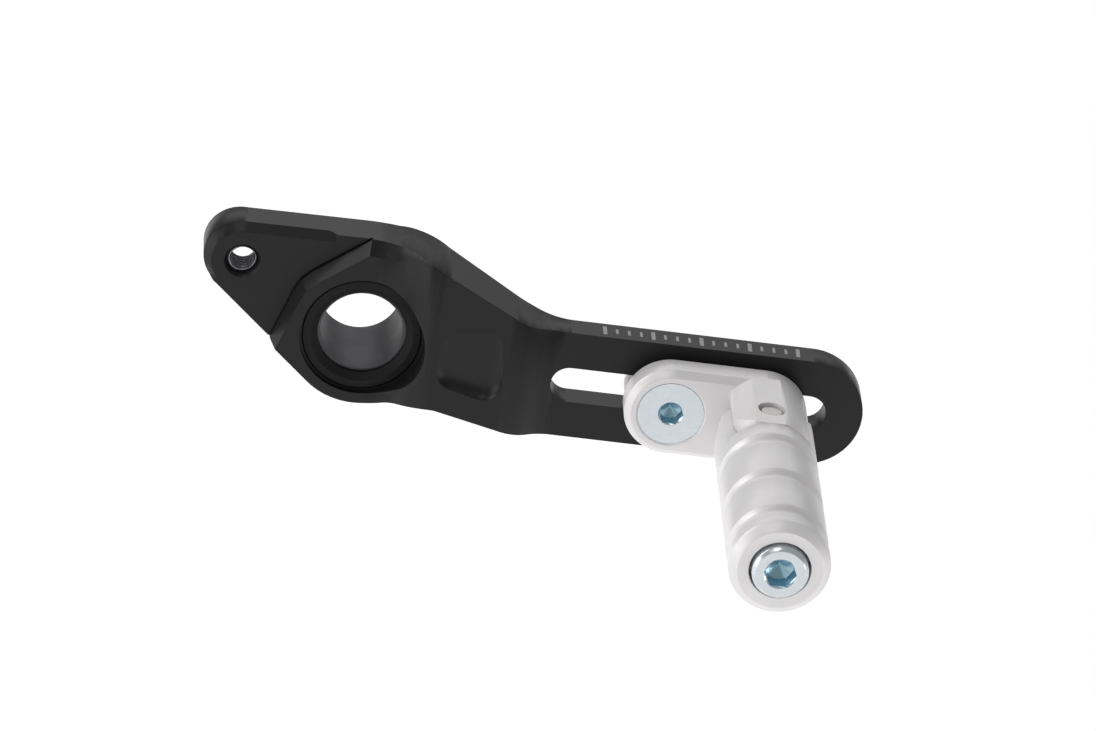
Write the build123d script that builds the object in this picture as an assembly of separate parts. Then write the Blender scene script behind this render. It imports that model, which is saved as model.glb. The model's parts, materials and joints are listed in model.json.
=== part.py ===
from build123d import *
import math
import os

# Gear shift lever with a sliding, folding toe peg.  Millimetres, +Z up.
# Origin: on the pivot axis, halfway along the hub.  +X runs along the slot
# towards the toe peg, +Y is the pivot axis pointing to the motorcycle.

os.makedirs("parts", exist_ok=True)

# ---- pivot hub ----
HUB_HALF = 11.0            # hub runs from y = -11 to y = +11
HUB_R = 13.3               # round boss on the outer side
HUB_REAR_R = 12.6          # plain round hub on the inner side
BUSH_BORE_R = 7.5
BUSH_OUT_R = 8.8
SEAL_IN_R = 8.0
SEAL_T = 1.7
SEAL_LIP = 1.0             # depth of the cone inside the seal
SEAL_LIP_R = 9.3
SEAL_SINK = 1.0            # seal face below the hub face
RECESS_R = 11.3
RECESS_FLOOR_R = 10.9

# ---- linkage lobe ----
LOBE_X = -23.1
LOBE_Z = 10.8
LOBE_R = 7.2
LOBE_LOW_R = 6.5           # the lower edge runs in a little under the lobe's arc
LOBE_FRONT = -7.8
LOBE_BACK = -0.3
LOBE_CHAMFER = 1.5
LINK_R = 2.5               # tapping bore of the M6 linkage thread
LINK_MOUTH_R = 3.15
STEP_SLOPE = 24.5          # degrees, bevelled step between hub face and lobe face

# ---- arm ----
ARM_FRONT = -16.5
ARM_T = 5.4
ARM_BACK = ARM_FRONT + ARM_T
ARM_Z = -1.9
ARM_R = 10.4
ARM_END_X = 81.1
SLOT_W = 6.8
SLOT_X0 = 34.5
SLOT_X1 = 84.8
CREST_Y = -18.7

# ---- hollow milled into the rise with a ball-ended cutter ----
SCOOP_X = 20.0
SCOOP_Z = 1.0
SCOOP_FLOOR = -16.8
SCOOP_BALL_R = 3.2
SCOOP_CORNER_R = 4.2
SCOOP_TILT = 8.0           # degrees, deeper towards its lower end
SCOOP_YAW = -7.0           # degrees, follows the slope of the rise

# ---- carrier ----
CLAMP_X = 56.1
PEG_X = 72.6
CAR_FRONT = -23.5
CAR_R = 8.4
CAR_BEVEL = 1.2
CAR_BACK_BEVEL = 1.8
KEY_W = 6.7
KEY_X0 = 48.1
KEY_X1 = 78.1
KEY_DEEP = 4.4
PIN_Y = -33.5
PIN_R = 2.5
PIN_SINK = 0.5
PIN_BEVEL = 0.7
PIN_FLAT = 2.1             # detent flat, distance from the pin axis
EAR_T = 4.1
EAR_R = 8.8                # the ears are turned on their sides, flat on top and below
EAR_X = PEG_X - 0.4
EAR_FRONT = PIN_Y - 5.6
EAR_LEFT = PEG_X - 6.4
EAR_GAP = 0.1              # running clearance above and below the tongue

# ---- clamp fasteners, M6 ----
M6_R = 3.0
CSK_R = 6.0
CSK_LEN = 20.0
CSK_HEX = 4.0
WASHER_R = 6.0
WASHER_T = 1.6
NUT_AF = 10.0
NUT_H = 5.9

# ---- peg ----
PEG_R = 9.0
PEG_ROOT = PIN_Y - 6.9
PEG_TIP = -79.0
PEG_TIP_BEVEL = 1.55
TONGUE_R = 9.0
GROOVE_W = 3.6
GROOVE_DEEP = 0.75
GROOVE_PITCH = 13.5
CBORE_R = 5.5
CBORE_DEEP = 4.6           # the cap head stands 1.4 proud of the end face
CAP_R = 5.0
CAP_H = 6.0
CAP_HEX = 5.0
CAP_SHANK = 12.0
DETENT_BORE_R = 2.55
PLUNGER_R = 2.5
PLUNGER_LEN = 9.0
SPRING_WIRE_R = 0.35
SPRING_R = 1.95
SPRING_TURNS = 8


def box(x0, x1, y0, y1, z0, z1):
    b = Box(x1 - x0, y1 - y0, z1 - z0)
    return Pos((x0 + x1) / 2, (y0 + y1) / 2, (z0 + z1) / 2) * b


def rod_y(r, x, z, y0, y1):
    return Pos(x, (y0 + y1) / 2, z) * Rot(90, 0, 0) * Cylinder(r, y1 - y0)


def cone_y(r0, r1, x, z, y0, y1):
    """Cone along Y: radius r0 at y0, r1 at y1."""
    return Pos(x, (y0 + y1) / 2, z) * Rot(-90, 0, 0) * Cone(r0, r1, y1 - y0)


def rod_z(r, x, y, z0, z1):
    return Pos(x, y, (z0 + z1) / 2) * Cylinder(r, z1 - z0)


def hex_y(af, x, z, y0, y1):
    prism = extrude(RegularPolygon(af / math.sqrt(3), 6), amount=y1 - y0)
    return Pos(x, y0, z) * Rot(-90, 0, 0) * prism


def face_y(outline, y):
    """Face from a closed x/z outline, at height y, looking towards -Y."""
    face = make_face(Plane.XZ * outline).face()
    if face.normal_at().Y > 0:
        face = -face
    return Pos(0, y, 0) * face


def plate_y(outline, y0, y1):
    """Push a closed x/z outline through from y0 to y1."""
    return extrude(face_y(outline, y1), amount=y1 - y0)


def plate_z(outline, z0, z1):
    face = make_face(outline).face()
    if face.normal_at().Z < 0:
        face = -face
    return Pos(0, 0, z0) * extrude(face, amount=z1 - z0)


def stadium(x0, x1, z, r):
    """Long rounded outline in x/z."""
    top = Line((x0, z + r), (x1, z + r))
    right = ThreePointArc((x1, z + r), (x1 + r, z), (x1, z - r))
    low = Line((x1, z - r), (x0, z - r))
    left = ThreePointArc((x0, z - r), (x0 - r, z), (x0, z + r))
    return Curve() + [top, right, low, left]


def tangent_points(c0, r0, c1, r1):
    """Lower outer tangent of two circles, from the first to the second."""
    dx = c1[0] - c0[0]
    dz = c1[1] - c0[1]
    dist = math.hypot(dx, dz)
    lean = math.atan2(dz, dx) - math.acos((r0 - r1) / dist)
    nx = math.cos(lean)
    nz = math.sin(lean)
    return (c0[0] + r0 * nx, c0[1] + r0 * nz), (c1[0] + r1 * nx, c1[1] + r1 * nz)


# =====================================================================
# lever body
# =====================================================================
lobe_low, hub_low = tangent_points((LOBE_X, LOBE_Z), LOBE_LOW_R, (0, 0), HUB_R)
TOP_Z = LOBE_Z + LOBE_R
ARM_TOP = ARM_Z + ARM_R
ARM_LOW = ARM_Z - ARM_R
hub_out = (4.6, -math.sqrt(HUB_R ** 2 - 4.6 ** 2))

outline = Curve() + [
    Line((LOBE_X, TOP_Z), (4.6, TOP_Z + 0.3)),
    ThreePointArc((4.6, TOP_Z + 0.3), (9.8, 18.15), (13.9, 16.5)),
    Line((13.9, 16.5), (26.6, 10.8)),
    ThreePointArc((26.6, 10.8), (31.6, 9.1), (37.0, ARM_TOP)),
    Line((37.0, ARM_TOP), (ARM_END_X, ARM_TOP)),
    ThreePointArc((ARM_END_X, ARM_TOP), (ARM_END_X + ARM_R, ARM_Z), (ARM_END_X, ARM_LOW)),
    Line((ARM_END_X, ARM_LOW), (33.0, ARM_LOW)),
    ThreePointArc((33.0, ARM_LOW), (29.5, -12.2), (26.0, -11.85)),
    Line((26.0, -11.85), (14.5, -10.2)),
    ThreePointArc((14.5, -10.2), (9.6, -10.75), (hub_out[0], hub_out[1])),
    ThreePointArc(hub_out, (-3.2, -math.sqrt(HUB_R ** 2 - 3.2 ** 2)), hub_low),
    Line(hub_low, lobe_low),
    ThreePointArc(lobe_low, (LOBE_X - 6.98, LOBE_Z + 1.77), (LOBE_X, TOP_Z)),
]
silhouette = plate_y(outline, -30, 30)

# seen from above: hub face, hollow rise to the crest, arm face, and the back
plan = Curve() + [
    Line((-40, -HUB_HALF), (1.2, -HUB_HALF)),
    ThreePointArc((1.2, -HUB_HALF), (5.4, -12.0), (8.2, -14.1)),
    ThreePointArc((8.2, -14.1), (10.3, -15.6), (13.0, -16.5)),
    Line((13.0, -16.5), (26.0, -18.5)),
    ThreePointArc((26.0, -18.5), (28.6, CREST_Y), (31.0, -18.0)),
    ThreePointArc((31.0, -18.0), (33.2, -16.95), (35.6, ARM_FRONT)),
    Line((35.6, ARM_FRONT), (100, ARM_FRONT)),
    Line((100, ARM_FRONT), (100, ARM_BACK)),
    Line((100, ARM_BACK), (37.4, ARM_BACK)),
    ThreePointArc((37.4, ARM_BACK), (33.4, -10.5), (30.0, -9.2)),
    Line((30.0, -9.2), (8.0, -2.2)),
    ThreePointArc((8.0, -2.2), (3.4, -0.8), (-2.0, LOBE_BACK)),
    Line((-2.0, LOBE_BACK), (-40, LOBE_BACK)),
    Line((-40, LOBE_BACK), (-40, -HUB_HALF)),
]
lever = silhouette & plate_z(plan, -40, 40)

# the lobe face lies lower than the hub face; a bevel joins the two
def step_cutter():
    """Everything in front of the lobe face, left of a bevelled edge round the hub."""
    foot = [(-60, -30), (-60, 40), (27.2, 40), (-0.9, 18.1), (-10.4, 10.7)]
    foot = foot + [(-12.3, 8.7), (-13.3, 6.6), (-16.3, -3.1), (-24.6, -30)]
    edge = [Line(foot[i], foot[(i + 1) % len(foot)]) for i in range(len(foot))]
    return extrude(face_y(Curve() + edge, LOBE_FRONT), amount=14, taper=-STEP_SLOPE)


cut = step_cutter()
lever -= cut

# bevel along the upper edge of the hollow rise, fading out towards the crest
def rise_section(points, z):
    """Everything in front of a curve drawn in plan, at height z."""
    start = points[0]
    end = points[-1]
    edge = [
        Spline(*points),
        Line(end, (end[0], -30)),
        Line((end[0], -30), (start[0], -30)),
        Line((start[0], -30), start),
    ]
    return Pos(0, 0, z) * make_face(Curve() + edge)


bevel_low = [(-0.9, -11.2), (2.0, -11.05), (5.0, -11.9), (8.0, -14.9), (11.0, -17.4)]
bevel_high = [(-0.9, -7.4), (2.0, -8.1), (5.0, -9.7), (8.0, -12.7), (11.0, -15.6)]
lever -= loft([rise_section(bevel_low, 16.2), rise_section(bevel_high, 18.6)], ruled=True)

# fine groove along the foot of the bevelled step
foot_line = [(8.3, 25.3), (-0.9, 18.1), (-10.4, 10.7), (-12.3, 8.7)]
foot_line = foot_line + [(-13.3, 6.6), (-16.3, -3.1), (-19.0, -12.0)]
for a, b in zip(foot_line, foot_line[1:]):
    run = math.hypot(b[0] - a[0], b[1] - a[1])
    turn = math.degrees(math.atan2(b[1] - a[1], b[0] - a[0]))
    bar = Pos((a[0] + b[0]) / 2, LOBE_FRONT, (a[1] + b[1]) / 2) * Rot(0, -turn, 0) * Box(run + 0.2, 0.7, 0.4)
    lever -= bar

# rounded rim of the lobe: a broad bevel from the lower left round to the top
rim_out = Curve() + [
    Line((LOBE_X, TOP_Z), (-8.2, TOP_Z + 0.16)),
    Line((-8.2, TOP_Z + 0.16), (-8.2, 30)),
    Line((-8.2, 30), (-45, 30)),
    Line((-45, 30), (-45, 0)),
    Line((-45, 0), (-35.0, 0)),
    Line((-35.0, 0), (LOBE_X - 6.1, LOBE_Z - 3.82)),
    ThreePointArc((LOBE_X - 6.1, LOBE_Z - 3.82), (LOBE_X - 6.24, LOBE_Z + 3.6), (LOBE_X, TOP_Z)),
]
rim_face = face_y(rim_out, LOBE_FRONT + LOBE_CHAMFER)
lever -= extrude(rim_face, amount=LOBE_CHAMFER + 1.0, taper=-45)

# hub to the inner side
lever += rod_y(HUB_REAR_R, 0, 0, -3.0, HUB_HALF)
lever = lever.clean()

# bore, bush seat, seal recesses
lever -= rod_y(BUSH_OUT_R, 0, 0, -30, 30)
lever -= rod_y(RECESS_R, 0, 0, -30, -HUB_HALF + SEAL_SINK)
lever -= rod_y(RECESS_FLOOR_R, 0, 0, -HUB_HALF, -HUB_HALF + SEAL_SINK + SEAL_T)
lever -= rod_y(RECESS_FLOOR_R, 0, 0, HUB_HALF - SEAL_SINK - SEAL_T, 30)

# slot for the carrier
lever -= plate_y(stadium(SLOT_X0 + SLOT_W / 2, SLOT_X1 - SLOT_W / 2, ARM_Z, SLOT_W / 2), -40, 0)

# linkage bore with its countersunk mouths
lever -= rod_y(LINK_R, LOBE_X, LOBE_Z, -20, 10)
lever -= cone_y(LINK_MOUTH_R + 0.5, LINK_R, LOBE_X, LOBE_Z, LOBE_FRONT - 0.5, LOBE_FRONT + 1.2)
lever -= cone_y(LINK_R, LINK_MOUTH_R - 0.2, LOBE_X, LOBE_Z, LOBE_BACK - 0.5, LOBE_BACK + 0.5)

# hollow scooped out of the rise: deepest at its lower end, running out at the top
scoop_out = Curve() + [
    Line((13.6, 11.0), (12.0, 2.2)),
    Line((12.0, 2.2), (13.7, -5.4)),
    Line((13.7, -5.4), (26.5, -7.0)),
    Line((26.5, -7.0), (26.5, 11.0)),
    Line((26.5, 11.0), (13.6, 11.0)),
]
scoop = Pos(-SCOOP_X, 0, -SCOOP_Z) * extrude(face_y(scoop_out, 0), amount=12)
scoop = fillet(scoop.edges().filter_by(Axis.Y), SCOOP_CORNER_R)
scoop = fillet(scoop.edges().filter_by_position(Axis.Y, -0.01, 0.01), SCOOP_BALL_R)
lever -= Pos(SCOOP_X, SCOOP_FLOOR, SCOOP_Z) * Rot(SCOOP_TILT, 0, SCOOP_YAW) * scoop

export_step(lever, "parts/lever_body.step")

# =====================================================================
# pivot bush and seals
# =====================================================================
bush_y1 = HUB_HALF - SEAL_SINK - SEAL_T
bush_hole = rod_y(BUSH_BORE_R, 0, 0, -30, 30)
bush = rod_y(BUSH_OUT_R, 0, 0, -bush_y1, bush_y1) - bush_hole
export_step(bush, "parts/pivot_bush.step")


def seal_ring(y0, y1, outer):
    """Rubber ring: flat face, broken outer edge, and a coned lip round the bore."""
    ring = rod_y(RECESS_FLOOR_R, 0, 0, y0, y1) - rod_y(SEAL_IN_R, 0, 0, y0 - 1, y1 + 1)
    if outer < 0:
        rim = rod_y(RECESS_FLOOR_R + 1, 0, 0, y0 - 1, y0 + 0.3)
        rim -= cone_y(RECESS_FLOOR_R - 0.3, RECESS_FLOOR_R, 0, 0, y0, y0 + 0.3)
        return ring - rim - cone_y(SEAL_LIP_R, SEAL_IN_R, 0, 0, y0, y0 + SEAL_LIP)
    rim = rod_y(RECESS_FLOOR_R + 1, 0, 0, y1 - 0.3, y1 + 1)
    rim -= cone_y(RECESS_FLOOR_R, RECESS_FLOOR_R - 0.3, 0, 0, y1 - 0.3, y1)
    return ring - rim - cone_y(SEAL_IN_R, SEAL_LIP_R, 0, 0, y1 - SEAL_LIP, y1)


export_step(seal_ring(-HUB_HALF + SEAL_SINK, -bush_y1, -1), "parts/front_seal.step")
export_step(seal_ring(bush_y1, HUB_HALF - SEAL_SINK, 1), "parts/rear_seal.step")

# =====================================================================
# carrier: plate, guide key in the slot, two ears for the hinge pin
# =====================================================================
CAR_TOP = ARM_Z + CAR_R
CAR_LOW = ARM_Z - CAR_R
body_out = stadium(CLAMP_X, PEG_X, ARM_Z, CAR_R)
plate = plate_y(body_out, CAR_FRONT, ARM_FRONT)
front_edges = plate.edges().filter_by_position(Axis.Y, CAR_FRONT - 0.01, CAR_FRONT + 0.01)
plate = chamfer(front_edges, CAR_BEVEL)
back_edges = plate.edges().filter_by_position(Axis.Y, ARM_FRONT - 0.01, ARM_FRONT + 0.01)
plate = chamfer(back_edges, CAR_BACK_BEVEL)

ear_plan = Curve() + [
    Line((EAR_LEFT, CAR_FRONT + 2), (EAR_LEFT, PIN_Y + 0.7)),
    ThreePointArc((EAR_LEFT, PIN_Y + 0.7), (PEG_X - 4.7, PIN_Y - 4.0), (PEG_X, EAR_FRONT)),
    Line((PEG_X, EAR_FRONT), (PEG_X + 20, EAR_FRONT)),
    Line((PEG_X + 20, EAR_FRONT), (PEG_X + 20, CAR_FRONT + 2)),
    Line((PEG_X + 20, CAR_FRONT + 2), (EAR_LEFT, CAR_FRONT + 2)),
]
ears = plate_z(ear_plan, CAR_LOW, CAR_TOP) & rod_y(EAR_R, EAR_X, ARM_Z, EAR_FRONT - 1, 0)
gap_top = CAR_TOP - EAR_T
gap_low = CAR_LOW + EAR_T
ears -= box(PEG_X - 30, PEG_X + 30, EAR_FRONT - 2, CAR_FRONT, gap_low, gap_top)
key_out = stadium(KEY_X0 + KEY_W / 2, KEY_X1 - KEY_W / 2, ARM_Z, KEY_W / 2)
key = plate_y(key_out, ARM_FRONT - 1, ARM_FRONT + KEY_DEEP)
carrier = (plate + ears + key).clean()
carrier -= rod_y(M6_R + 0.2, CLAMP_X, ARM_Z, -40, 0)
carrier -= cone_y(CSK_R + 0.35, M6_R + 0.2, CLAMP_X, ARM_Z, CAR_FRONT, CAR_FRONT + CSK_R - M6_R + 0.15)
carrier -= rod_z(PIN_R, PEG_X, PIN_Y, -20, 20)
export_step(carrier, "parts/carrier.step")

# =====================================================================
# clamp screw, washer, lock nut with its plastic ring, hinge pin
# =====================================================================
head_y = CAR_FRONT + 0.2
csk = cone_y(CSK_R, M6_R, CLAMP_X, ARM_Z, head_y + 0.15, head_y + 0.15 + CSK_R - M6_R)
csk += rod_y(CSK_R, CLAMP_X, ARM_Z, head_y, head_y + 0.15)
csk += rod_y(M6_R - 0.02, CLAMP_X, ARM_Z, head_y + 1, head_y + CSK_LEN)
csk -= hex_y(CSK_HEX, CLAMP_X, ARM_Z, head_y - 1, head_y + 2.4)
csk -= cone_y(CSK_HEX / 2, 0.1, CLAMP_X, ARM_Z, head_y + 2.4, head_y + 3.4)
csk -= cone_y(CSK_HEX * 0.585, CSK_HEX * 0.5, CLAMP_X, ARM_Z, head_y - 0.01, head_y + 0.25)
export_step(csk, "parts/clamp_screw.step")

washer = rod_y(WASHER_R, CLAMP_X, ARM_Z, ARM_BACK, ARM_BACK + WASHER_T)
washer -= rod_y(M6_R + 0.2, CLAMP_X, ARM_Z, ARM_BACK - 1, ARM_BACK + 5)
export_step(washer, "parts/clamp_washer.step")

nut_y = ARM_BACK + WASHER_T
crown = rod_y(NUT_AF * 0.475, CLAMP_X, ARM_Z, nut_y, nut_y + NUT_H)
nut_cut = cone_y(NUT_AF * 0.52, NUT_AF * 0.68, CLAMP_X, ARM_Z, nut_y, nut_y + 1.2)
nut_cut += rod_y(NUT_AF * 0.68, CLAMP_X, ARM_Z, nut_y + 1.2, nut_y + 3.2)
nut_cut += cone_y(NUT_AF * 0.68, NUT_AF * 0.52, CLAMP_X, ARM_Z, nut_y + 3.2, nut_y + 4.4)
nut = (hex_y(NUT_AF, CLAMP_X, ARM_Z, nut_y, nut_y + 4.4) & nut_cut) + crown
nut -= rod_y(M6_R, CLAMP_X, ARM_Z, nut_y - 1, nut_y + 10)
nut -= rod_y(NUT_AF * 0.40, CLAMP_X, ARM_Z, nut_y + 4.0, nut_y + 5.5)
export_step(nut, "parts/clamp_nut.step")

nylon = rod_y(NUT_AF * 0.40, CLAMP_X, ARM_Z, nut_y + 4.0, nut_y + 5.5)
nylon -= rod_y(M6_R, CLAMP_X, ARM_Z, nut_y - 1, nut_y + 10)
export_step(nylon, "parts/nut_nylon_ring.step")

pin = rod_z(PIN_R, PEG_X, PIN_Y, CAR_LOW + PIN_SINK, CAR_TOP - PIN_SINK)
pin = chamfer(pin.edges().filter_by(GeomType.CIRCLE), PIN_BEVEL)
flat_z = (gap_top - gap_low) / 2 - 0.6
pin -= box(PEG_X - 5, PEG_X + 5, PIN_Y - 6, PIN_Y - PIN_FLAT, ARM_Z - flat_z, ARM_Z + flat_z)
export_step(pin, "parts/hinge_pin.step")

# =====================================================================
# toe peg: ribbed round grip with its hinge tongue
# =====================================================================
peg = rod_y(PEG_R, PEG_X, ARM_Z, PEG_TIP, PEG_ROOT)
tip_edges = peg.edges().filter_by_position(Axis.Y, PEG_TIP - 0.01, PEG_TIP + 0.01)
peg = chamfer(tip_edges, PEG_TIP_BEVEL)
groove_r = (GROOVE_W ** 2 / 4 + GROOVE_DEEP ** 2) / (2 * GROOVE_DEEP)
for i in range(3):
    gy = PEG_ROOT - 5.6 - i * GROOVE_PITCH
    ring = Pos(PEG_X, gy, ARM_Z) * Rot(90, 0, 0) * Torus(PEG_R - GROOVE_DEEP + groove_r, groove_r)
    peg -= ring

tongue_top = gap_top - EAR_GAP
tongue_low = gap_low + EAR_GAP
tongue = rod_z(TONGUE_R, PEG_X, PIN_Y, tongue_low, tongue_top)
tongue += box(PEG_X - PEG_R, PEG_X + PEG_R, PEG_ROOT - 1, PIN_Y, tongue_low, tongue_top)
tongue = tongue & rod_y(PEG_R, PEG_X, ARM_Z, PEG_ROOT - 1, PIN_Y + 20)
peg = (peg + tongue).clean()
peg -= rod_z(PIN_R + 0.05, PEG_X, PIN_Y, -20, 20)
plug_y = PEG_TIP + CBORE_DEEP
shank_y = plug_y + CAP_SHANK
peg -= rod_y(CBORE_R, PEG_X, ARM_Z, PEG_TIP - 5, plug_y)
peg -= rod_y(M6_R, PEG_X, ARM_Z, PEG_TIP, shank_y + 0.5)
peg -= rod_y(DETENT_BORE_R, PEG_X, ARM_Z, PEG_TIP, PIN_Y)
export_step(peg, "parts/peg_body.step")

# end screw, closes the detent bore
cap = rod_y(CAP_R, PEG_X, ARM_Z, plug_y - CAP_H, plug_y)
cap_edges = cap.edges().filter_by_position(Axis.Y, plug_y - CAP_H - 0.01, plug_y - CAP_H + 0.01)
cap = chamfer(cap_edges, 0.6)
cap += rod_y(M6_R - 0.02, PEG_X, ARM_Z, plug_y - 1, shank_y)
cap_y = plug_y - CAP_H
cap -= hex_y(CAP_HEX, PEG_X, ARM_Z, cap_y - 1, cap_y + 3.0)
cap -= cone_y(CAP_HEX / 2, 0.1, PEG_X, ARM_Z, cap_y + 3.0, cap_y + 4.2)
cap -= cone_y(CAP_HEX * 0.585, CAP_HEX * 0.5, PEG_X, ARM_Z, cap_y - 0.01, cap_y + 0.3)
export_step(cap, "parts/peg_end_screw.step")

# detent plunger and the spring behind it
nose_y = PIN_Y - PIN_FLAT - 0.05
plunger = rod_y(PLUNGER_R, PEG_X, ARM_Z, nose_y - PLUNGER_LEN, nose_y)
plunger = chamfer(plunger.edges().filter_by(GeomType.CIRCLE), 0.25)
export_step(plunger, "parts/detent_plunger.step")

spring_y0 = shank_y
spring_y1 = nose_y - PLUNGER_LEN
spring_len = spring_y1 - spring_y0 - 2 * SPRING_WIRE_R
coil = Helix(pitch=spring_len / SPRING_TURNS, height=spring_len, radius=SPRING_R)
wire = sweep(Plane(coil @ 0, z_dir=coil % 0) * Circle(SPRING_WIRE_R), path=coil)
spring = Pos(PEG_X, spring_y0 + SPRING_WIRE_R, ARM_Z) * Rot(-90, 0, 0) * wire
export_step(spring, "parts/detent_spring.step")
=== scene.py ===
import bpy
import bmesh
import json
import math
from mathutils import Matrix, Vector


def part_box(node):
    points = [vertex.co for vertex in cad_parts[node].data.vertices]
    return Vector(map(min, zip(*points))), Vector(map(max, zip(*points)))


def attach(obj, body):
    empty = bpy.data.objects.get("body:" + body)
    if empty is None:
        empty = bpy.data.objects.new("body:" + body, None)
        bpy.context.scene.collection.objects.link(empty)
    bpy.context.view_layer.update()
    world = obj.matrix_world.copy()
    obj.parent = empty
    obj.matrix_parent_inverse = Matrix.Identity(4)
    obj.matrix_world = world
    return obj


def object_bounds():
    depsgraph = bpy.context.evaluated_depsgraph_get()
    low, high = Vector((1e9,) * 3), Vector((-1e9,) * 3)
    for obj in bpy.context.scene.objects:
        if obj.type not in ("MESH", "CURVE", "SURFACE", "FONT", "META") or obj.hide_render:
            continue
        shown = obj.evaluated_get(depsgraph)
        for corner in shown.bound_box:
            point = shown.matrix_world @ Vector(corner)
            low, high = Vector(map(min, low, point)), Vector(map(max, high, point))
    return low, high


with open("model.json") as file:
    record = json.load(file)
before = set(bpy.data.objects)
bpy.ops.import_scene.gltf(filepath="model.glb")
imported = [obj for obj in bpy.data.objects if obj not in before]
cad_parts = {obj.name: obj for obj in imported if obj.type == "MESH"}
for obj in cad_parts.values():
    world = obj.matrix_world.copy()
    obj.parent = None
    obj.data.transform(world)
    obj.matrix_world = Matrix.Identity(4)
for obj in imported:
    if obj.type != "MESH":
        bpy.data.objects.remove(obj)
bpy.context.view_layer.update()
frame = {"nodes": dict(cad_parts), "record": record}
NODES = frame["nodes"]
MM = 0.001


# ------------------------------------------------------------------ node help
class Nodes:
    """A small helper that builds a procedural material in object space."""

    def __init__(self, name):
        self.mat = bpy.data.materials.new(name)
        self.mat.use_nodes = True
        self.tree = self.mat.node_tree
        self.bsdf = self.tree.nodes["Principled BSDF"]
        coord = self.add("ShaderNodeTexCoord")
        self.pos = coord.outputs["Object"]
        split = self.add("ShaderNodeSeparateXYZ")
        self.link(self.pos, split.inputs[0])
        self.x, self.y, self.z = split.outputs

    def add(self, kind, **props):
        node = self.tree.nodes.new(kind)
        for key, value in props.items():
            setattr(node, key, value)
        return node

    def link(self, a, b):
        self.tree.links.new(a, b)

    def feed(self, socket, value):
        if isinstance(value, (int, float)):
            socket.default_value = value
        else:
            self.link(value, socket)

    def math(self, op, a, b=0.0, c=None):
        node = self.add("ShaderNodeMath", operation=op)
        self.feed(node.inputs[0], a)
        self.feed(node.inputs[1], b)
        if c is not None:
            self.feed(node.inputs[2], c)
        return node.outputs[0]

    def band(self, value, low, high, soft):
        """1 between low and high, 0 outside, with soft edges."""
        up = self.ramp_between(value, low - soft, low + soft)
        down = self.ramp_between(value, high - soft, high + soft)
        return self.math("MULTIPLY", up, self.math("SUBTRACT", 1.0, down))

    def ramp_between(self, value, low, high, out_low=0.0, out_high=1.0):
        node = self.add("ShaderNodeMapRange", interpolation_type="SMOOTHSTEP")
        self.feed(node.inputs["Value"], value)
        node.inputs["From Min"].default_value = low
        node.inputs["From Max"].default_value = high
        node.inputs["To Min"].default_value = out_low
        node.inputs["To Max"].default_value = out_high
        return node.outputs["Result"]

    def noise(self, scale, detail=3.0, rough=0.5, stretch=None):
        vector = self.pos
        if stretch:
            mapping = self.add("ShaderNodeMapping")
            mapping.inputs["Scale"].default_value = stretch
            self.link(self.pos, mapping.inputs["Vector"])
            vector = mapping.outputs[0]
        node = self.add("ShaderNodeTexNoise")
        self.link(vector, node.inputs["Vector"])
        node.inputs["Scale"].default_value = scale
        node.inputs["Detail"].default_value = detail
        node.inputs["Roughness"].default_value = rough
        return node.outputs["Fac"]

    def blend(self, factor, dark, light):
        node = self.add("ShaderNodeMix", data_type="RGBA")
        self.feed(node.inputs[0], factor)
        for socket, value in ((node.inputs[6], dark), (node.inputs[7], light)):
            if isinstance(value, tuple):
                socket.default_value = (*value, 1.0)
            else:
                self.link(value, socket)
        return node.outputs[2]

    def colour(self, value):
        self.feed_colour(self.bsdf.inputs["Base Color"], value)

    def feed_colour(self, socket, value):
        if isinstance(value, tuple):
            socket.default_value = (*value, 1.0)
        else:
            self.link(value, socket)

    def rough(self, value):
        self.feed(self.bsdf.inputs["Roughness"], value)

    def metal(self, value):
        self.bsdf.inputs["Metallic"].default_value = value

    def bump(self, height, strength, distance, under=None):
        node = self.add("ShaderNodeBump")
        node.inputs["Strength"].default_value = strength
        node.inputs["Distance"].default_value = distance
        self.feed(node.inputs["Height"], height)
        if under is not None:
            self.link(under, node.inputs["Normal"])
        self.link(node.outputs[0], self.bsdf.inputs["Normal"])
        return node.outputs[0]

    def radius_from(self, cx, cz):
        """Distance from an axis that runs along Y."""
        dx = self.math("SUBTRACT", self.x, cx)
        dz = self.math("SUBTRACT", self.z, cz)
        square = self.math("ADD", self.math("MULTIPLY", dx, dx), self.math("MULTIPLY", dz, dz))
        return self.math("SQRT", square)


def middle(node):
    low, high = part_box(node)
    return (low + high) / 2


clamp_mid = middle("clamp_screw")
peg_mid = middle("peg_end_screw")
pin_mid = middle("hinge_pin")


# ------------------------------------------------------------------ materials
def black_anodised():
    m = Nodes("black_anodised")
    blast = m.noise(5200.0, 4.0, 0.65)
    cloud = m.noise(90.0, 3.0, 0.5)
    m.colour(m.blend(cloud, (0.0038, 0.0038, 0.0041), (0.0060, 0.0060, 0.0066)))
    # cutter lines run up and down on the hollow rise beside the hub
    rise = m.band(m.x, 1.5 * MM, 13.5 * MM, 1.2 * MM)
    lines = m.noise(1.0, 2.0, 0.5, stretch=(2600.0, 900.0, 30.0))
    # the outline was cut from the side: fine lines across the thickness
    side = m.noise(1.0, 2.0, 0.5, stretch=(260.0, 5200.0, 260.0))
    grain = m.math("MULTIPLY", blast, 0.55)
    grain = m.math("ADD", grain, m.math("MULTIPLY", m.math("MULTIPLY", lines, rise), 0.8))
    grain = m.math("ADD", grain, m.math("MULTIPLY", side, 0.25))
    m.rough(m.ramp_between(grain, 0.2, 1.1, 0.36, 0.5))
    m.metal(0.0)
    m.bsdf.inputs["IOR"].default_value = 1.5
    m.bsdf.inputs["Specular IOR Level"].default_value = 0.3
    m.bump(grain, 0.28, 0.00004)
    return m.mat


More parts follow.
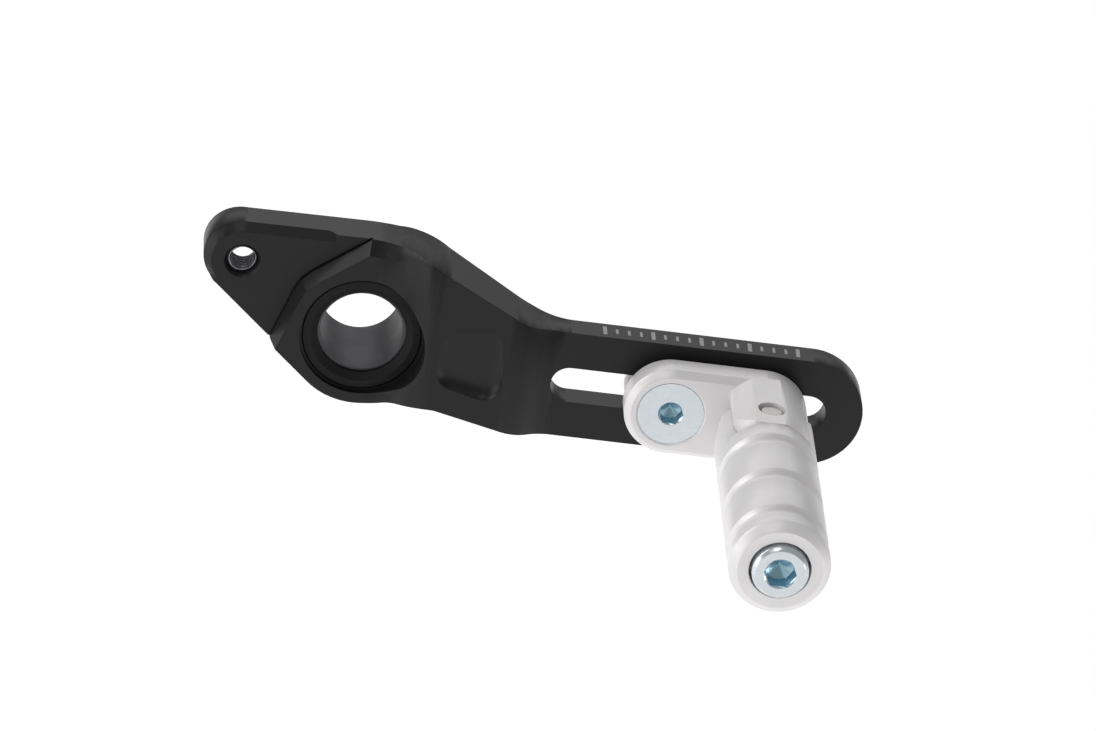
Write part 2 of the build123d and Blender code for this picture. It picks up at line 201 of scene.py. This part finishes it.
def satin_silver(name="satin_silver"):
    m = Nodes(name)
    blast = m.noise(4200.0, 4.0, 0.7)
    cloud = m.noise(140.0, 2.0, 0.5)
    m.colour(m.blend(cloud, (0.74, 0.725, 0.725), (0.80, 0.785, 0.785)))
    m.rough(m.ramp_between(blast, 0.3, 0.75, 0.36, 0.5))
    m.metal(0.25)
    m.bump(blast, 0.22, 0.00003)
    return m.mat


def zinc(name, centre, hex_radius, face_y):
    """Bright zinc plate; the hex socket shows the blue passivation."""
    m = Nodes(name)
    r = m.radius_from(centre.x, centre.z)
    rings = m.add("ShaderNodeTexNoise", noise_dimensions="1D")
    m.feed(rings.inputs["W"], m.math("MULTIPLY", r, 5200.0))
    rings.inputs["Detail"].default_value = 3.0
    cloud = m.noise(650.0, 3.0, 0.6)
    socket = m.math("MULTIPLY", m.ramp_between(r, hex_radius, hex_radius * 0.94),
                    m.band(m.y, face_y + 0.25 * MM, face_y + 4.4 * MM, 0.2 * MM))
    plain = m.blend(cloud, (0.58, 0.63, 0.67), (0.71, 0.755, 0.785))
    m.colour(m.blend(socket, plain, (0.40, 0.62, 0.72)))
    m.rough(m.ramp_between(cloud, 0.3, 0.7, 0.16, 0.28))
    m.metal(0.7)
    m.bump(rings.outputs["Fac"], 0.12, 0.00002)
    return m.mat


def drawn_steel(name, tint, low=0.24, high=0.4, along="y"):
    m = Nodes(name)
    stretch = (900.0, 6000.0, 900.0) if along == "y" else (900.0, 900.0, 6000.0)
    lines = m.noise(1.0, 3.0, 0.6, stretch=stretch)
    dark = tuple(0.82 * c for c in tint)
    m.colour(m.blend(lines, dark, tint))
    m.rough(m.ramp_between(lines, 0.3, 0.7, low, high))
    m.metal(1.0)
    m.bump(lines, 0.15, 0.00002)
    return m.mat


def sleeve_grey():
    """Dull grey sliding layer with faint marks round the bore."""
    m = Nodes("sleeve_grey")
    lines = m.noise(1.0, 3.0, 0.6, stretch=(300.0, 4200.0, 300.0))
    cloud = m.noise(260.0, 3.0, 0.55)
    both = m.math("ADD", m.math("MULTIPLY", lines, 0.6), m.math("MULTIPLY", cloud, 0.4))
    m.colour(m.blend(both, (0.055, 0.055, 0.062), (0.105, 0.105, 0.118)))
    m.rough(m.ramp_between(both, 0.3, 0.7, 0.42, 0.58))
    m.metal(0.35)
    m.bump(lines, 0.15, 0.00003)
    return m.mat


def rubber(name):
    m = Nodes(name)
    fine = m.noise(3600.0, 4.0, 0.6)
    cloud = m.noise(220.0, 2.0, 0.5)
    m.colour(m.blend(cloud, (0.0045, 0.0045, 0.0045), (0.0080, 0.0080, 0.0080)))
    m.rough(m.ramp_between(fine, 0.3, 0.7, 0.5, 0.66))
    m.bsdf.inputs["Specular IOR Level"].default_value = 0.22
    m.bump(fine, 0.2, 0.00004)
    return m.mat


def nylon():
    m = Nodes("nylon_natural")
    cloud = m.noise(500.0, 2.0, 0.5)
    m.colour(m.blend(cloud, (0.55, 0.55, 0.50), (0.66, 0.66, 0.62)))
    m.rough(m.ramp_between(cloud, 0.3, 0.7, 0.4, 0.55))
    m.bsdf.inputs["Subsurface Weight"].default_value = 0.1
    m.bump(cloud, 0.1, 0.00003)
    return m.mat


def laser_mark():
    m = Nodes("laser_mark")
    dots = m.noise(7000.0, 2.0, 0.6)
    m.colour(m.blend(dots, (0.30, 0.30, 0.31), (0.46, 0.46, 0.47)))
    m.rough(0.7)
    m.bump(dots, 0.2, 0.00002)
    return m.mat


BLACK = black_anodised()
SILVER = satin_silver()
PAINT = {
    "lever_body": BLACK,
    "pivot_bush": sleeve_grey(),
    "front_seal": rubber("seal_rubber"),
    "rear_seal": rubber("seal_rubber_rear"),
    "carrier": SILVER,
    "peg_body": SILVER,
    "clamp_screw": zinc("zinc_clamp", clamp_mid, 2.35 * MM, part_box("clamp_screw")[0].y),
    "clamp_washer": drawn_steel("zinc_washer", (0.60, 0.64, 0.67), 0.22, 0.34),
    "clamp_nut": drawn_steel("zinc_nut", (0.58, 0.62, 0.66), 0.22, 0.34),
    "nut_nylon_ring": nylon(),
    "hinge_pin": drawn_steel("pin_steel", (0.46, 0.44, 0.43), 0.26, 0.4, "z"),
    "detent_plunger": drawn_steel("plunger_steel", (0.42, 0.42, 0.43)),
    "detent_spring": drawn_steel("spring_steel", (0.38, 0.38, 0.39)),
    "peg_end_screw": zinc("zinc_end", peg_mid, 2.95 * MM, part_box("peg_end_screw")[0].y),
}


def paint(obj, material):
    obj.data.materials.clear()
    obj.data.materials.append(material)


for name, material in PAINT.items():
    paint(NODES[name], material)

# broken edges: the real parts are tumbled, so no edge is perfectly sharp
EDGE = {"lever_body": 0.34, "carrier": 0.16, "peg_body": 0.16, "clamp_screw": 0.10,
        "peg_end_screw": 0.10, "clamp_nut": 0.10, "clamp_washer": 0.12}


def soften(obj, width_mm):
    weld = obj.modifiers.new("weld", "WELD")
    weld.merge_threshold = 0.000002
    bevel = obj.modifiers.new("edge", "BEVEL")
    bevel.width = width_mm * MM
    bevel.segments = 2
    bevel.limit_method = "ANGLE"
    bevel.angle_limit = math.radians(38)
    bevel.use_clamp_overlap = True
    bevel.harden_normals = True


for name, width in EDGE.items():
    soften(NODES[name], width)


# ------------------------------------------------------------------ pieces
def mesh_object(name, bm, material, body, smooth=True):
    mesh = bpy.data.meshes.new(name)
    bm.to_mesh(mesh)
    bm.free()
    for poly in mesh.polygons:
        poly.use_smooth = smooth
    mesh.materials.append(material)
    obj = bpy.data.objects.new(name, mesh)
    bpy.context.scene.collection.objects.link(obj)
    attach(obj, body)
    return obj


def add_bar(bm, x0, x1, y0, y1, z0, z1):
    made = bmesh.ops.create_cube(bm, size=1.0)
    for v in made["verts"]:
        v.co.x = x0 + (v.co.x + 0.5) * (x1 - x0)
        v.co.y = y0 + (v.co.y + 0.5) * (y1 - y0)
        v.co.z = z0 + (v.co.z + 0.5) * (z1 - z0)


ARM_HALF_WIDTH = 10.4
ARM_MID_Y = -13.8


def position_scale():
    """Plain setting marks on the arm's upper edge, over the slot."""
    top = (clamp_mid.z / MM + ARM_HALF_WIDTH) * MM
    y_mid = ARM_MID_Y * MM
    bm = bmesh.new()
    for i in range(17):
        x = 43.0 * MM + i * 2.2 * MM
        long = i % 4 == 0
        half = (1.55 if long else 0.9) * MM
        wide = (0.36 if long else 0.24) * MM
        add_bar(bm, x - wide, x + wide, y_mid - half, y_mid + half, top - 0.05 * MM, top + 0.012 * MM)
    mesh_object("position_scale", bm, laser_mark(), "lever", smooth=False)


def helix_ridge(name, cx, cz, y0, y1, r_root, r_crest, pitch, body, material):
    """An internal thread: one V-shaped ridge that winds along the bore."""
    turns = (y1 - y0) / pitch
    steps = int(turns * 40)
    section = ((-0.42, r_root), (-0.06, r_crest), (0.06, r_crest), (0.42, r_root))
    bm = bmesh.new()
    rings = []
    for i in range(steps + 1):
        angle = 2 * math.pi * turns * i / steps
        y = y0 + (y1 - y0) * i / steps
        fade = min(1.0, 3.0 * i / 40, 3.0 * (steps - i) / 40)
        ring = []
        for along, r in section:
            rr = r_root + (r - r_root) * fade
            ring.append(bm.verts.new((cx + rr * math.cos(angle), y + along * pitch, cz + rr * math.sin(angle))))
        rings.append(ring)
    for a, b in zip(rings, rings[1:]):
        for k in range(len(section)):
            n = (k + 1) % len(section)
            bm.faces.new((a[k], a[n], b[n], b[k]))
    bm.faces.new(rings[0])
    bm.faces.new(list(reversed(rings[-1])))
    bmesh.ops.recalc_face_normals(bm, faces=bm.faces)
    return mesh_object(name, bm, material, body)


def thread_steel():
    m = Nodes("tapped_aluminium")
    lines = m.noise(2600.0, 3.0, 0.6)
    m.colour(m.blend(lines, (0.16, 0.16, 0.18), (0.30, 0.30, 0.33)))
    m.rough(m.ramp_between(lines, 0.3, 0.7, 0.22, 0.4))
    m.metal(1.0)
    m.bump(lines, 0.2, 0.00003)
    return m.mat


position_scale()
link = next(m for m in frame["record"]["mounts"] if m["name"] == "linkage_thread")
link_x, link_y, link_z = link["pos_m"]
helix_ridge("linkage_thread_turns", link_x, link_z, link_y - 3.4 * MM, link_y + 2.6 * MM,
            2.52 * MM, 2.2 * MM, 1.0 * MM, "lever", thread_steel())

# ------------------------------------------------------------------ stage
floor_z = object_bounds()[0][2] - 0.12
floor_bm = bmesh.new()
bmesh.ops.create_grid(floor_bm, x_segments=1, y_segments=1, size=6.0)
floor_mesh = bpy.data.meshes.new("floor")
floor_bm.to_mesh(floor_mesh)
floor_bm.free()
floor = bpy.data.objects.new("floor", floor_mesh)
floor.location = (0.03, -0.03, floor_z)
bpy.context.scene.collection.objects.link(floor)
floor_mat = Nodes("pale_floor")
floor_mat.colour((0.92, 0.92, 0.92))
floor_mat.rough(0.9)
floor_mat.bsdf.inputs["Emission Color"].default_value = (1.0, 1.0, 1.0, 1.0)
floor_mat.bsdf.inputs["Emission Strength"].default_value = 0.42
floor_mesh.materials.append(floor_mat.mat)

world = bpy.data.worlds.new("studio")
bpy.context.scene.world = world
world.use_nodes = True
world.node_tree.nodes["Background"].inputs["Color"].default_value = (1.0, 1.0, 1.0, 1.0)
world.node_tree.nodes["Background"].inputs["Strength"].default_value = 0.30

target = Vector((0.030, -0.025, 0.0))


def softbox(name, place, size, power):
    light = bpy.data.lights.new(name, "AREA")
    light.shape = "RECTANGLE"
    light.size, light.size_y = size
    light.energy = power
    lamp = bpy.data.objects.new(name, light)
    lamp.location = place
    aim = target - Vector(place)
    lamp.rotation_euler = aim.to_track_quat("-Z", "Y").to_euler()
    bpy.context.scene.collection.objects.link(lamp)
    return lamp


softbox("back", (0.05, 1.1, 0.75), (1.6, 0.7), 3.8)
softbox("left_top", (-1.0, 0.05, 0.65), (0.6, 0.6), 5.2)
softbox("top", (-0.25, -0.55, 1.0), (0.4, 0.4), 1.4)
softbox("left", (-0.9, -0.35, 0.05), (0.5, 0.4), 1.4)
softbox("right", (0.50, -0.38, -0.06), (0.36, 0.13), 0.6)
softbox("front", (-0.5, -1.5, 0.2), (0.7, 0.6), 0.75)

camera_data = bpy.data.cameras.new("camera")
camera_data.lens = 266.4
camera_data.sensor_width = 36.0
camera_data.clip_end = 20.0
camera = bpy.data.objects.new("camera", camera_data)
right = Vector((0.98826425, -0.03548423, 0.14857537))
up = Vector((-0.11708631, 0.4487063, 0.88597599))
back = Vector((-0.09810488, -0.89297454, 0.43928568))
turn = Matrix((right, up, back)).transposed().to_4x4()
camera.matrix_world = Matrix.Translation(Vector((-0.109632, -1.319716, 0.642574))) @ turn
bpy.context.scene.collection.objects.link(camera)
bpy.context.scene.camera = camera
bpy.context.scene.view_settings.view_transform = "Standard"
